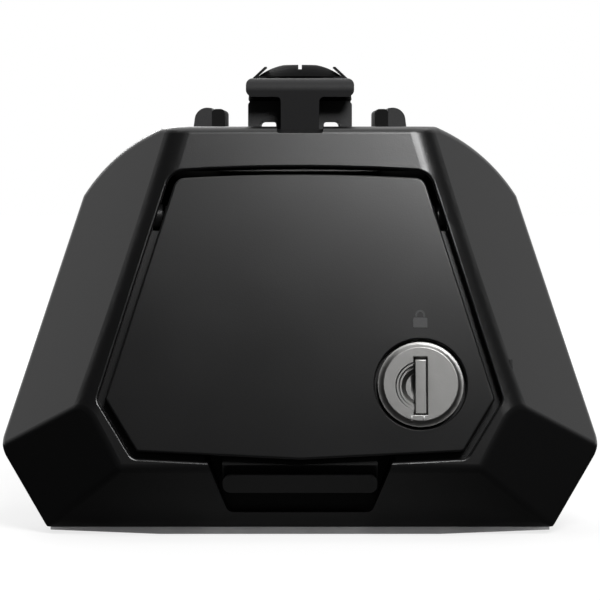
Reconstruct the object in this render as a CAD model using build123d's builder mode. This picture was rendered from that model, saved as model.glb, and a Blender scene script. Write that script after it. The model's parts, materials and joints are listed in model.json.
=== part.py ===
# Roof bar foot for a raised roof rail, in millimetres.
# The cover's front faces -Y, +X runs along the rail, +Z is up, and z = 0 is the plane it stands on.
import os
from math import atan, cos, hypot, radians, sin

from build123d import *

os.makedirs("parts", exist_ok=True)

# Cover: outer form
wide_half = 69.0  # half width at the widest corner
wide_z = 19.5
wide_y = -26.0
base_half = 58.0  # half width at the lower edge
base_z = 1.6
shoulder_half = 50.7  # where the straight side turns into the shoulder
shoulder_z = 76.8
shoulder_bow = 2.0
top_half = 31.0
top_z = 93.0
ridge_half = 40.15  # lower ridge of the front face
ridge_y = -46.5
ridge_z = 16.4
knee_half = 48.15  # where front face, side bevel and corner facet meet
knee_z = 31.3
crest_half = 29.6  # upper end of the ridge between front face and side bevel
crest_z = 88.8
top_front_y = -27.0
face_bow = 1.0  # how far the front face bulges
ridge_radius = 8.0
tip_radius = 6.0
edge_radius = 2.4
wall = 2.6
split_y = 16.0  # parting plane between the cover and the rear moulding
part_gap = 0.3

# Rail tunnel through the sides
arch_y = -17.0
arch_z = 33.5
arch_radius = 8.0
liner_half = 20.5  # the tunnel's lining starts this far from the middle

# Door, drawn on the middle of its gap, which keeps these distances from the front face's corners
door_gap = 1.65
door_top_inset = 10.1
door_top_drop = 0.9
door_crest_inset = 0.8
door_corner_radius = 3.6
door_knee_inset = 3.55
door_knee_rise = 0.4
door_toe_inset = 3.15
door_toe_rise = 3.1
door_low_rise = 1.3
door_top_z = top_z - door_top_inset
door_top_half = crest_half - door_crest_inset
door_elbow_half = knee_half - door_knee_inset
door_elbow_z = knee_z + door_knee_rise
door_foot_half = ridge_half - door_toe_inset
door_foot_z = ridge_z + door_toe_rise
door_low_z = ridge_z + door_low_rise
door_bend_radius = 1.8
door_edge_radius = 0.5
opening_radius = 0.45
ledge_width = 2.6
ledge_back = 4.8
ledge_clear = 0.5
door_room = 7.5  # free depth behind the door's face
rim_inset = 3.8
rim_wall = 2.0
rim_depth = 3.2
door_rib_wall = 1.4
door_rib_depth = 2.2
door_ribs_x = (-20.0, 4.0)

# Finger recess below the door, and the door's pull lip
recess_top_half = 21.4
recess_top_z = 20.0
recess_low_half = 16.3
recess_low_z = 5.4
recess_radius = 1.9
recess_floor_y = -30.4
recess_wall = 2.0
lip_half = 17.4
lip_groove = 2.0  # dark groove between the door's lower edge and the lip
lip_height = 4.5
lip_sink = 0.6
lip_wall = 2.4
lip_top_z = door_low_z - door_gap / 2 - lip_groove
lip_low_z = lip_top_z - lip_height

# Door hinge
hinge_drop = 8.5  # below the door's upper edge, along the face
hinge_depth = 6.0  # behind the face
hinge_pin_radius = 1.5
hinge_play = 0.05
hinge_lug_radius = 2.6
hinge_lug_reach = 1.8  # beyond the half width of the door's upper edge
hinge_lug_width = 4.6
hinge_side_gap = 0.8
hinge_boss_width = 5.8
hinge_boss_radius = 3.0
hinge_web_width = 3.6
hinge_lug_outer = door_top_half + hinge_lug_reach
hinge_lug_inner = hinge_lug_outer - hinge_lug_width
hinge_boss_inner = hinge_lug_outer + hinge_side_gap
hinge_boss_outer = hinge_boss_inner + hinge_boss_width
hinge_web_inner = hinge_boss_outer - hinge_web_width

# Hood behind the gap over the door, around the swing of the door's upper edge
hood_play = 0.5
hood_wall = 1.0
hood_reach = 9.0  # how far above the hinge its lower rim is
shelf_rise = 0.2
shelf_thick = 1.5
shelf_back = 4.4

# Lock, along an axis square to the front face
lock_inset = 17.54  # from the door's elbow
lock_rise = 3.54
lock_x = door_elbow_half - lock_inset
lock_z = door_elbow_z + lock_rise
lock_face_radius = 9.6
lock_face_rise = 0.35
lock_face_thick = 1.7
lock_face_chamfer = 1.2
lock_dish_radius = 10.3
lock_dish_depth = 1.9
lock_dish_chamfer = 0.35
lock_core_radius = 6.5
lock_core_length = 13.0
lock_play = 0.05
lock_sleeve_radius = 8.2
lock_sleeve_length = 10.7
lock_boss_radius = 12.0
lock_boss_depth = 9.0
keyway_width = 2.9
keyway_height = 13.0
keyway_drop = 0.45
keyway_depth = 5.0
keyway_chamfer = 0.25
moon_steps = ((5.7, 0.0), (5.4, 0.3), (5.0, 0.3), (4.7, 0.6), (4.3, 0.6), (3.3, 1.5))  # radius, depth
shutter_thick = 1.2
shutter_sink = 0.1
shutter_play = 0.15
shutter_chamfer = 0.45
tang_side = 7.0
cam_thick = 1.9
cam_width = 7.0
cam_reach = 21.0
cam_gap = 0.5
clip_thick = 0.9
clip_radius = 11.2
clip_groove = 0.5
clip_mouth = 10.0
cam_screw_radius = 1.5
cam_screw_head = 4.2
cam_screw_head_thick = 2.0
cam_screw_length = 6.0
catch_overlap = 2.16
catch_thick = 2.0
catch_height = 12.0
catch_inner = lock_x + cam_reach - catch_overlap

# Base frame
leg_front_y = -27.0
leg_back_y = -20.5
leg_low_z = 4.0
toe_back_y = -17.2
toe_z = 8.0
jaw_half = 17.0
saddle_low_z = 34.5
saddle_thick = 4.5
frame_half = 19.0
frame_back_y = 19.5
plate_wall = 3.5
plate_foot_y = -24.0
plate_waist_y = -16.5
plate_waist_z = 60.0
thrust_front_y = -16.0
thrust_thick = 5.0
thrust_top_z = 62.0
bridge_thick = 6.0
bridge_front_y = -19.5
bridge_back_y = 18.5
window_margin = 6.0
frame_radius = 2.0

# Pads on the rail
pad_thick = 3.0
pad_groove = 1.2
pad_groove_depth = 0.9
outer_pad_thick = 4.0

# Rear moulding and its deck
rear_y = 30.0
rear_radius = 5.0
deck_half = 26.6
deck_drop = 1.5  # below the cover's top
deck_thick = 2.6
deck_play = 0.4
deck_lip = 2.4  # wall left in front of the deck's opening
trough_end = 1.5  # wall left behind the deck's trough
deck_top_z = top_z - deck_drop
deck_opening_half = deck_half + deck_play
deck_opening_y = top_front_y + deck_lip
deck_front_y = deck_opening_y + deck_play
window_half = 28.0
window_top_z = 66.0
window_radius = 8.0

# Cradle ears and buffers
ear_inner = 20.4
ear_outer = 24.8
ear_slope = 0.8
ear_rise = 6.2
ear_fall = 0.4
ear_radius = 2.9
ear_front_y = -18.0
ear_back_y = 20.0
buffer_inner = 17.4
buffer_rise = 5.6
buffer_radius = 1.0
ear_top_z = deck_top_z + ear_rise
buffer_top_z = deck_top_z + buffer_rise

# Bar seat
seat_half = 12.0
seat_rise = 7.4
seat_front_y = -19.0
seat_back_y = 18.0
seat_arch_inner = 5.5
seat_arch_outer = 9.3
seat_arch_rise = 2.8
seat_radius = 1.0
seat_screw_radius = 2.0
seat_screw_head = 4.0
seat_screw_length = 14.0
seat_screws_y = (1.5, 12.0)
seat_top_z = deck_top_z + seat_rise
seat_arch_z = deck_top_z + seat_arch_rise

# Tee plate, its bolt and nut
tee_half = 12.4
tee_rise = 5.2  # above the seat
tee_thick = 2.4
tee_back_y = 2.0
tee_head_lift = 0.9
tee_head_radius = 1.6
tee_stem_half = 4.4
tee_stem_radius = 1.1
tee_stem_drop = 3.0  # below the deck's top
tee_bend_radius = 3.0
tee_axis_y = -9.5
thread_radius = 4.0
thread_play = 0.05
clear_radius = 4.4
dome_radius = 10.0
dome_flat_radius = 4.0
dome_height = 2.8
dome_slot_width = 0.8
dome_slot_depth = 1.1
tee_bolt_clear = 4.0  # above the frame's thrust wall
clip_strip = 0.5
clip_strip_half = 6.0
clip_wing_half = 11.2
clip_wing_tip = 8.2
clip_wing_rise = 2.3
washer_radius = 8.5
washer_thick = 1.6
nut_side = 13.0  # across the flats
nut_height = 8.0
turn_gap = 0.1  # between a turning face and what it bears on
notch_half = 5.3
notch_lip = 2.0  # wall left in front of the notch
notch_play = 0.4
notch_dip = 0.6
notch_dip_radius = 0.5
notch_fall = 20.0  # degrees that the notch's sill falls to the front
notch_y = top_front_y + notch_lip
tee_front_y = notch_y + notch_play
tee_top_z = seat_top_z + tee_rise
tee_head_low_z = seat_top_z + tee_head_lift
tee_stem_low_z = deck_top_z - tee_stem_drop
tee_bolt_low_z = thrust_top_z + tee_bolt_clear

# Clamp bolt and sliding jaw
bolt_z = 50.0
bolt_head_radius = 6.5
bolt_head_height = 8.0
bolt_socket = 6.0  # across the flats
bolt_socket_depth = 4.5
bolt_end_y = 44.5
ring_thick = 1.2
ring_radius = 6.6
jaw_plate_half = 24.0
jaw_plate_y = 33.0
jaw_plate_thick = 5.0
jaw_wide_z = 26.0
jaw_taper_z = 41.0
jaw_play = 0.3
jaw_boss_half = 15.2
jaw_boss_front_y = 10.0
jaw_boss_top_z = 60.5
jaw_toe_y = 26.5
jaw_toe_z = 6.0
jaw_toe_root_z = 9.0
jaw_rib_y = 46.3
jaw_rib_top_z = 44.0
jaw_rib_foot_z = 9.0
jaw_rib_wall = 3.0
jaw_chamfer = 0.8
jaw_ribs_x = (-15.0, 0.0, 15.0)
jaw_pad_top_z = 31.0
jaw_nut_y = 24.0

# Screws from the rear moulding into the cover
screw_places = ((46.0, 66.0), (54.0, 43.0))
screw_radius = 1.6
screw_head_radius = 3.4
screw_head_thick = 2.4
screw_seat_y = 24.5
screw_tip_y = 3.0
boss_radius = 4.2

# Sole trim under the cover's lower edge
sole_half = 57.0
sole_flat_half = 32.0
sole_end_z = 1.0
sole_back_y = -24.0
sole_proud = 0.4

reach = 80.0  # longer than any cut through the part


def face_slope(z):
    """Slope dy/dz of the front face at height z."""
    share = (z - ridge_z) / (top_z - ridge_z)
    return (top_front_y - ridge_y - 4 * face_bow * (1 - 2 * share)) / (top_z - ridge_z)


def face_y(z):
    """Depth of the bowed front face at height z."""
    share = (z - ridge_z) / (top_z - ridge_z)
    return ridge_y + share * (top_front_y - ridge_y) - 4 * face_bow * share * (1 - share)


def facet(side, *points):
    """Plane through three points of one side, with its normal pointing away from the middle."""
    first, second, third = [Vector(side * x, y, z) for x, y, z in points]
    normal = (second - first).cross(third - first)
    if normal.X * side < 0:
        normal = normal * -1
    return Plane(origin=first, x_dir=second - first, z_dir=normal)


crest = (crest_half, face_y(crest_z), crest_z)
knee = (knee_half, face_y(knee_z), knee_z)
toe = (ridge_half, ridge_y, ridge_z)
widest = (wide_half, wide_y, wide_z)
side_bevels = [facet(side, crest, knee, widest) for side in (1, -1)]
corner_facets = [facet(side, knee, toe, widest) for side in (1, -1)]

# The bottom facet ends where the corner facets reach the lower edge.
corner_normal = corner_facets[0].z_dir
base_y = wide_y - (
    corner_normal.X * (base_half - wide_half) + corner_normal.Z * (base_z - wide_z)
) / corner_normal.Y
side_tuck = (wide_half - base_half) / (wide_z - base_z)
undercut = (base_y - ridge_y) / (ridge_z - base_z)


def front_outline(plane, inset, drop):
    """Front view of the cover, moved in by inset and lengthened below its lower edge by drop."""
    low_z = base_z - drop
    shoulder_mid = (
        (shoulder_half + top_half) / 2 + shoulder_bow * 0.6,
        (shoulder_z + top_z) / 2 + shoulder_bow * 0.8,
    )
    with BuildSketch(plane) as outline:
        with BuildLine():
            side = Polyline(
                (0, low_z),
                (base_half - drop * side_tuck, low_z),
                (wide_half, wide_z),
                (shoulder_half, shoulder_z),
            )
            shoulder = ThreePointArc(side @ 1, shoulder_mid, (top_half, top_z))
            Line(shoulder @ 1, (0, top_z))
            mirror(about=Plane.YZ)
        make_face()
        if inset:
            offset(amount=-inset, kind=Kind.INTERSECTION)
    return outline.sketch


def side_outline(inset, drop, back_y):
    """Side view of the cover, moved in and lengthened in the same way."""
    middle_z = (ridge_z + top_z) / 2
    with BuildSketch(Plane.YZ) as outline:
        with BuildLine():
            face = ThreePointArc(
                (ridge_y, ridge_z), (face_y(middle_z), middle_z), (top_front_y, top_z)
            )
            Polyline(
                face @ 1,
                (back_y, top_z),
                (back_y, base_z - drop),
                (base_y + drop * undercut, base_z - drop),
                face @ 0,
            )
        make_face()
        if inset:
            offset(amount=-inset, kind=Kind.INTERSECTION)
    return outline.sketch


def cover_form(inset, drop=12.0, back_y=split_y + 12.0):
    """The cover's faceted solid, moved inwards by inset; open forms run on below and behind."""
    front = front_outline(Plane.XZ, inset, drop)
    side = side_outline(inset, drop, back_y)
    with BuildPart() as form:
        extrude(front, amount=reach, both=True)
        extrude(side, amount=reach, both=True, mode=Mode.INTERSECT)
        for plane in side_bevels + corner_facets:
            split(bisect_by=plane.offset(-inset), keep=Keep.BOTTOM)
    return form.part


def is_crease(edge, all_faces):
    """True where two faces of the cover meet at an angle, off its parting plane and lower rim."""
    middle = edge.center()
    if middle.Y > split_y - 0.01 or middle.Z < base_z + 0.01:
        return False
    first, second = [face for face in all_faces if any(edge.is_same(e) for e in face.edges())]
    return first.normal_at(middle).get_angle(second.normal_at(middle)) > 5


with BuildPart() as cover_outside:
    add(cover_form(0, drop=0, back_y=split_y))
    side_edges = edges().filter_by(Axis.Y).sort_by(Axis.X)
    fillet([side_edges[0], side_edges[-1]], tip_radius)
    fillet(edges().filter_by(GeomType.ELLIPSE).sort_by(SortBy.LENGTH)[-2:], ridge_radius)
    fillet([edge for edge in edges() if is_crease(edge, faces())], edge_radius)
outer = cover_outside.part


def door_outline(grow):
    """Front view of the door's gap, moved out by grow from the gap's middle."""
    corner_z = door_top_z - door_top_drop
    with BuildSketch(Plane.XZ) as outline:
        with BuildLine():
            top = ThreePointArc((-door_top_half, corner_z), (0, door_top_z), (door_top_half, corner_z))
            Polyline(
                top @ 1,
                (door_elbow_half, door_elbow_z),
                (door_foot_half, door_foot_z),
                (0, door_low_z),
                (-door_foot_half, door_foot_z),
                (-door_elbow_half, door_elbow_z),
                top @ 0,
            )
        make_face()
        fillet(outline.vertices().group_by(Axis.Y)[-1], door_corner_radius)
        feet, elbows = outline.vertices().group_by(Axis.Y)[1:3]
        fillet(feet + elbows, door_bend_radius)
        offset(amount=grow)
    return outline.sketch


def recess_outline(plane, grow):
    """Front view of the finger recess, moved out by grow."""
    with BuildSketch(plane) as outline:
        with BuildLine():
            Polyline(
                (-recess_top_half, recess_top_z),
                (-recess_low_half, recess_low_z),
                (recess_low_half, recess_low_z),
                (recess_top_half, recess_top_z),
                close=True,
            )
        make_face()
        fillet(outline.vertices().group_by(Axis.Y)[0], recess_radius)
        if grow:
            offset(amount=grow)
    return outline.sketch


def arch_outline(plane, grow):
    """Side view of the rail tunnel, moved out by grow."""
    with BuildSketch(plane) as outline:
        with BuildLine():
            Polyline(
                (arch_y - grow, -arch_z),
                (arch_y - grow, arch_z + grow),
                (reach, arch_z + grow),
                (reach, -arch_z),
                close=True,
            )
        make_face()
        fillet(outline.vertices().group_by(Axis.X)[0].sort_by(Axis.Y)[-1], arch_radius + grow)
    return outline.sketch


def tunnel_lining(body):
    """Lining of the rail tunnel outside the base frame, kept within a body."""
    lining_outline = arch_outline(Plane.YZ, wall)
    with BuildPart() as lining:
        extrude(lining_outline, amount=reach, both=True)
        Box(2 * liner_half, 2 * reach, 2 * reach, mode=Mode.SUBTRACT)
        add(body, mode=Mode.INTERSECT)
    return lining.part


def shell_between(near, far, outline):
    """The layer of the cover between two depths, within a front outline."""
    with BuildPart() as layer:
        add(cover_form(near))
        add(cover_form(far), mode=Mode.SUBTRACT)
        extrude(outline, amount=reach, mode=Mode.INTERSECT)
    return layer.part


# Axes that several pieces share
door_edge_z = door_top_z - door_gap / 2
hinge_lean = atan(face_slope(door_edge_z))
hinge_foot_z = door_edge_z - hinge_drop * cos(hinge_lean)
hinge_y = face_y(hinge_foot_z) + hinge_depth * cos(hinge_lean)
hinge_z = hinge_foot_z - hinge_depth * sin(hinge_lean)
lock_lean = atan(face_slope(lock_z))
lock_plane = Plane(
    origin=(lock_x, face_y(lock_z), lock_z),
    x_dir=(1, 0, 0),
    z_dir=(0, -cos(lock_lean), sin(lock_lean)),
)
bolt_plane = Plane(origin=(0, 0, bolt_z), x_dir=(1, 0, 0), z_dir=(0, 1, 0))
tee_plane = Plane(origin=(0, tee_axis_y, 0), x_dir=(1, 0, 0), z_dir=(0, 0, 1))
hinge_plane = Plane(origin=(0, hinge_y, hinge_z), x_dir=(0, 1, 0), z_dir=(1, 0, 0))
sill_plane = Plane(
    origin=(0, notch_y, top_z),
    x_dir=(1, 0, 0),
    z_dir=(0, -cos(radians(notch_fall)), -sin(radians(notch_fall))),
)
saddle_top_z = saddle_low_z + saddle_thick
bridge_top_z = deck_top_z - deck_thick
bridge_low_z = bridge_top_z - bridge_thick
plate_middle = frame_half - plate_wall / 2
washer_front_y = thrust_front_y - washer_thick
tee_washer_low_z = bridge_low_z - washer_thick
nut_top_z = tee_washer_low_z - turn_gap
screw_points = [(side * x, z) for side in (1, -1) for x, z in screw_places]

# Outlines drawn once and used by the cover and the door
door_hole = door_outline(door_gap / 2)
door_edge = door_outline(-door_gap / 2)
ledge_inner = door_outline(door_gap / 2 - ledge_width)
ledge_outer = door_outline(door_gap / 2 + ledge_width)
rim_outer = door_outline(-door_gap / 2 - rim_inset)
rim_inner = door_outline(-door_gap / 2 - rim_inset - rim_wall)
cavity = cover_form(wall)


def is_door_rim(edge):
    """True for an edge where the door's opening breaks through the cover's outside."""
    middle = edge @ 0.5
    shadow = Vertex(middle.X, 0, middle.Z)
    if min(shadow.distance_to(line) for line in door_hole.edges()) > 0.01:
        return False
    return abs(middle.Y - face_y(middle.Z)) < wall / 2


door_zone = shell_between(-wall, door_room, door_hole)
ledge_layer = shell_between(wall / 2, ledge_back, ledge_outer)
ledge_relief = shell_between(0, wall + ledge_clear, door_hole)
with BuildPart() as door_ledge:
    add(ledge_layer)
    add(ledge_relief, mode=Mode.SUBTRACT)
    extrude(ledge_inner, amount=reach, both=True, mode=Mode.SUBTRACT)
    with Locations((0, 0, hinge_z + reach - hinge_boss_radius)):
        Box(2 * reach, 2 * reach, 2 * reach, mode=Mode.SUBTRACT)
    with Locations((0, 0, recess_top_z)):
        Box(2 * recess_top_half, 2 * reach, 2 * ledge_width, mode=Mode.SUBTRACT)


recess_block = recess_outline(Plane.XZ.offset(-recess_floor_y - recess_wall), recess_wall)
recess_cut = recess_outline(Plane.XZ.offset(-recess_floor_y), 0)
with BuildPart() as recess_box:
    add(outer)
    extrude(recess_block, amount=reach, mode=Mode.INTERSECT)


with BuildPart() as cover_bosses:
    with BuildSketch(Plane.XZ.offset(-split_y)):
        with Locations(*screw_points):
            Circle(boss_radius)
    extrude(amount=reach)
    add(outer, mode=Mode.INTERSECT)


with BuildPart() as hinge_bosses:
    with BuildSketch(hinge_plane.offset(hinge_boss_inner)):
        Circle(hinge_boss_radius)
    extrude(amount=hinge_boss_outer - hinge_boss_inner)
    with BuildSketch(hinge_plane.offset(hinge_web_inner)):
        with Locations((-hinge_depth / 2, 0)):
            Rectangle(hinge_depth, 2 * hinge_boss_radius)
    extrude(amount=hinge_boss_outer - hinge_web_inner)
    mirror(about=Plane.YZ)
    add(outer, mode=Mode.INTERSECT)


swing_radius = hypot(hinge_drop, hinge_depth)
hood_radius = swing_radius + hood_play + hood_wall
with BuildPart() as door_hood:
    with BuildSketch(hinge_plane):
        with Locations((hood_radius / 2, (hood_reach + hood_radius) / 2)):
            Rectangle(hood_radius, hood_radius - hood_reach)
        Circle(hood_radius, mode=Mode.INTERSECT)
        Circle(hood_radius - hood_wall, mode=Mode.SUBTRACT)
        with Locations(((shelf_back - hinge_depth) / 2, hood_radius + shelf_rise - shelf_thick / 2)):
            Rectangle(shelf_back + hinge_depth, shelf_thick)
    extrude(amount=door_top_half, both=True)
    add(cover_form(wall / 2), mode=Mode.INTERSECT)


tunnel = arch_outline(Plane.YZ, 0)
cover_lining = tunnel_lining(outer)
with BuildPart() as cover_shell:
    add(outer)
    add(cavity, mode=Mode.SUBTRACT)
    add(cover_lining)
    add(recess_box.part)
    add(cover_bosses.part)
    add(door_zone, mode=Mode.SUBTRACT)
    fillet([edge for edge in edges() if is_door_rim(edge)], opening_radius)
    add(hinge_bosses.part)
    add(door_ledge.part)
    add(door_hood.part)
    with BuildSketch(lock_plane.offset(-lock_core_length + cam_gap)):
        with Locations((catch_inner + catch_thick / 2 - lock_x, 0)):
            Rectangle(catch_thick, catch_height)
    extrude(amount=lock_core_length - cam_gap - wall)
    extrude(recess_cut, amount=reach, mode=Mode.SUBTRACT)
    extrude(tunnel, amount=reach, both=True, mode=Mode.SUBTRACT)
    with BuildSketch(Plane.XY.offset(top_z - wall - edge_radius)):
        with Locations((0, (deck_opening_y + reach) / 2)):
            Rectangle(2 * deck_opening_half, reach - deck_opening_y)
        with Locations((0, (notch_y + reach) / 2)):
            Rectangle(2 * notch_half, reach - notch_y)
    extrude(amount=reach, mode=Mode.SUBTRACT)
    with BuildSketch(sill_plane):
        RectangleRounded(2 * notch_half, 2 * notch_dip, notch_dip_radius)
    extrude(amount=2 * deck_lip, mode=Mode.SUBTRACT)
    with BuildSketch(Plane.XZ.offset(-split_y)):
        with Locations(*screw_points):
            Circle(screw_radius)
    extrude(amount=split_y - screw_tip_y + part_gap, mode=Mode.SUBTRACT)
    with BuildSketch(hinge_plane):
        Circle(hinge_pin_radius + hinge_play)
    extrude(amount=hinge_boss_outer, both=True, mode=Mode.SUBTRACT)


# Door with its rim, pull lip, hinge lugs and lock boss
with BuildSketch(Plane.XZ) as lip_outline:
    with Locations((0, (lip_low_z + lip_top_z) / 2)):
        RectangleRounded(2 * lip_half, lip_height, door_bend_radius)
with BuildSketch(Plane.XZ) as lip_web_outline:
    with Locations((0, (lip_low_z + door_low_z + wall) / 2)):
        RectangleRounded(2 * lip_half, door_low_z + wall - lip_low_z, door_bend_radius)
lip_front = shell_between(lip_sink, wall + part_gap, lip_outline.sketch)
lip_web = shell_between(wall - part_gap, wall + lip_wall, lip_web_outline.sketch)
rim_layer = shell_between(wall / 2, wall + rim_depth, rim_outer)
with BuildPart() as door_rim:
    add(rim_layer)
    extrude(rim_inner, amount=reach, mode=Mode.SUBTRACT)


with BuildSketch(Plane.XZ) as rib_lines:
    with Locations(*[(x, (door_low_z + door_top_z) / 2) for x in door_ribs_x]):
        Rectangle(door_rib_wall, door_top_z - door_low_z)
    with Locations((0, (door_low_z + door_top_z) / 2)):
        Rectangle(2 * door_elbow_half, door_rib_wall)
rib_layer = shell_between(wall / 2, wall + door_rib_depth, rib_lines.sketch)
with BuildPart() as door_ribs:
    add(rib_layer)
    extrude(rim_outer, amount=reach, mode=Mode.INTERSECT)


with BuildPart() as door_lugs:
    with BuildSketch(hinge_plane.offset(hinge_lug_inner)):
        Circle(hinge_lug_radius)
        with Locations(((wall / 2 - hinge_depth) / 2, 0)):
            Rectangle(hinge_depth - wall / 2, 2 * hinge_lug_radius)
    extrude(amount=hinge_lug_outer - hinge_lug_inner)
    mirror(about=Plane.YZ)


door_skin = shell_between(0, wall, door_edge)
with BuildPart() as door_panel:
    add(door_skin)
    door_face = faces().sort_by(SortBy.AREA)[-2:].sort_by(Axis.Y)[0]
    fillet(door_face.edges(), door_edge_radius)
    add(lip_web)
    add(lip_front)
    add(door_rim.part)
    add(door_ribs.part)
    add(door_lugs.part)
    with BuildSketch(lock_plane.offset(-lock_boss_depth)):
        Circle(lock_boss_radius)
    extrude(amount=lock_boss_depth - wall / 2)
    with BuildSketch(lock_plane.offset(-lock_boss_depth)):
        Circle(lock_sleeve_radius)
    extrude(amount=2 * lock_boss_depth, mode=Mode.SUBTRACT)
    with BuildSketch(lock_plane.offset(-lock_dish_depth)):
        Circle(lock_dish_radius)
    extrude(amount=lock_boss_depth, mode=Mode.SUBTRACT)
    with Locations(lock_plane.offset(-lock_dish_chamfer)):
        Cone(
            lock_dish_radius,
            lock_dish_radius + 2 * lock_dish_chamfer,
            2 * lock_dish_chamfer,
            align=(Align.CENTER, Align.CENTER, Align.MIN),
            mode=Mode.SUBTRACT,
        )
    with BuildSketch(hinge_plane):
        Circle(hinge_pin_radius)
    extrude(amount=hinge_boss_outer, both=True, mode=Mode.SUBTRACT)


with BuildPart() as hinge_pins:
    with BuildSketch(hinge_plane.offset(hinge_lug_inner)):
        Circle(hinge_pin_radius)
    extrude(amount=hinge_boss_outer - hinge_lug_inner - part_gap)
    chamfer(edges().group_by(Axis.X)[-1], hinge_pin_radius / 4)
    mirror(about=Plane.YZ)


# Lock: plug, shutter, sleeve, clip, cam and its screw
core_low = -lock_core_length
lock_axis = Axis(lock_plane.origin, lock_plane.z_dir)
lock_rise_axis = Axis(lock_plane.origin, lock_plane.y_dir)
keyway_middle = lock_plane.from_local_coords((0, -keyway_drop, lock_face_rise))
moon_plane = Plane(origin=keyway_middle, x_dir=(1, 0, 0), z_dir=-lock_plane.y_dir)
with BuildPart() as finger_moon:
    with BuildSketch(moon_plane):
        with BuildLine():
            Polyline(
                (0, lock_face_rise),
                (moon_steps[0][0], lock_face_rise),
                *[(radius, -depth) for radius, depth in moon_steps],
                (0, -moon_steps[-1][1]),
                close=True,
            )
        make_face()
    revolve(axis=Axis(keyway_middle, lock_plane.z_dir))
    split(bisect_by=Plane(origin=keyway_middle, z_dir=(1, 0, 0)), keep=Keep.BOTTOM)


with BuildPart() as lock_core:
    with BuildSketch(lock_plane.offset(lock_face_rise - lock_face_thick)):
        Circle(lock_face_radius)
    extrude(amount=lock_face_thick)
    chamfer(edges().group_by(lock_axis)[-1], lock_face_chamfer)
    with BuildSketch(lock_plane.offset(core_low)):
        Circle(lock_core_radius)
    extrude(amount=lock_core_length - lock_face_thick / 2)
    with BuildSketch(lock_plane.offset(core_low - cam_thick)):
        Rectangle(tang_side, tang_side)
    extrude(amount=cam_thick)
    with BuildSketch(lock_plane.offset(core_low - cam_thick)):
        Circle(cam_screw_radius)
    extrude(amount=cam_screw_length, mode=Mode.SUBTRACT)
    with BuildSketch(lock_plane.offset(lock_face_rise - keyway_depth)):
        with Locations((0, -keyway_drop)):
            Rectangle(keyway_width, keyway_height)
    extrude(amount=keyway_depth, mode=Mode.SUBTRACT)
    chamfer(edges().filter_by(GeomType.LINE).group_by(lock_axis)[-1], keyway_chamfer)
    add(finger_moon.part, mode=Mode.SUBTRACT)


with BuildPart() as lock_shutter:
    with BuildSketch(lock_plane.offset(lock_face_rise - shutter_sink - shutter_thick)):
        with Locations((0, -keyway_drop)):
            Rectangle(keyway_width - 2 * shutter_play, keyway_height - 2 * shutter_play)
    extrude(amount=shutter_thick)
    chamfer(edges().group_by(lock_axis)[-1].sort_by(lock_rise_axis)[-1], shutter_chamfer)


with BuildPart() as lock_sleeve:
    with BuildSketch(lock_plane.offset(-lock_dish_depth)):
        Circle(lock_sleeve_radius)
        Circle(lock_core_radius + lock_play, mode=Mode.SUBTRACT)
    extrude(amount=-lock_sleeve_length)
    with BuildSketch(lock_plane.offset(-lock_boss_depth)):
        Circle(lock_sleeve_radius)
        Circle(lock_sleeve_radius - clip_groove, mode=Mode.SUBTRACT)
    extrude(amount=-clip_thick, mode=Mode.SUBTRACT)


with BuildPart() as lock_clip:
    with BuildSketch(lock_plane.offset(-lock_boss_depth)):
        Circle(clip_radius)
        Circle(lock_sleeve_radius - clip_groove, mode=Mode.SUBTRACT)
        with Locations((0, -clip_radius)):
            Rectangle(clip_mouth, 2 * clip_radius, mode=Mode.SUBTRACT)
    extrude(amount=-clip_thick)


with BuildPart() as lock_cam:
    with BuildSketch(lock_plane.offset(core_low)) as cam_outline:
        with Locations((0, cam_reach / 2)):
            Rectangle(cam_width, cam_reach)
        fillet(cam_outline.vertices().group_by(Axis.Y)[-1], cam_width / 4)
        Circle(lock_core_radius)
        Rectangle(tang_side, tang_side, mode=Mode.SUBTRACT)
    extrude(amount=-cam_thick)


with BuildPart() as cam_screw:
    with BuildSketch(lock_plane.offset(core_low - cam_thick)):
        Circle(cam_screw_head)
    extrude(amount=-cam_screw_head_thick)
    chamfer(edges().group_by(lock_axis)[0], cam_screw_head_thick / 4)
    with BuildSketch(lock_plane.offset(core_low - cam_thick)):
        Circle(cam_screw_radius)
    extrude(amount=cam_screw_length - part_gap)


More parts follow.
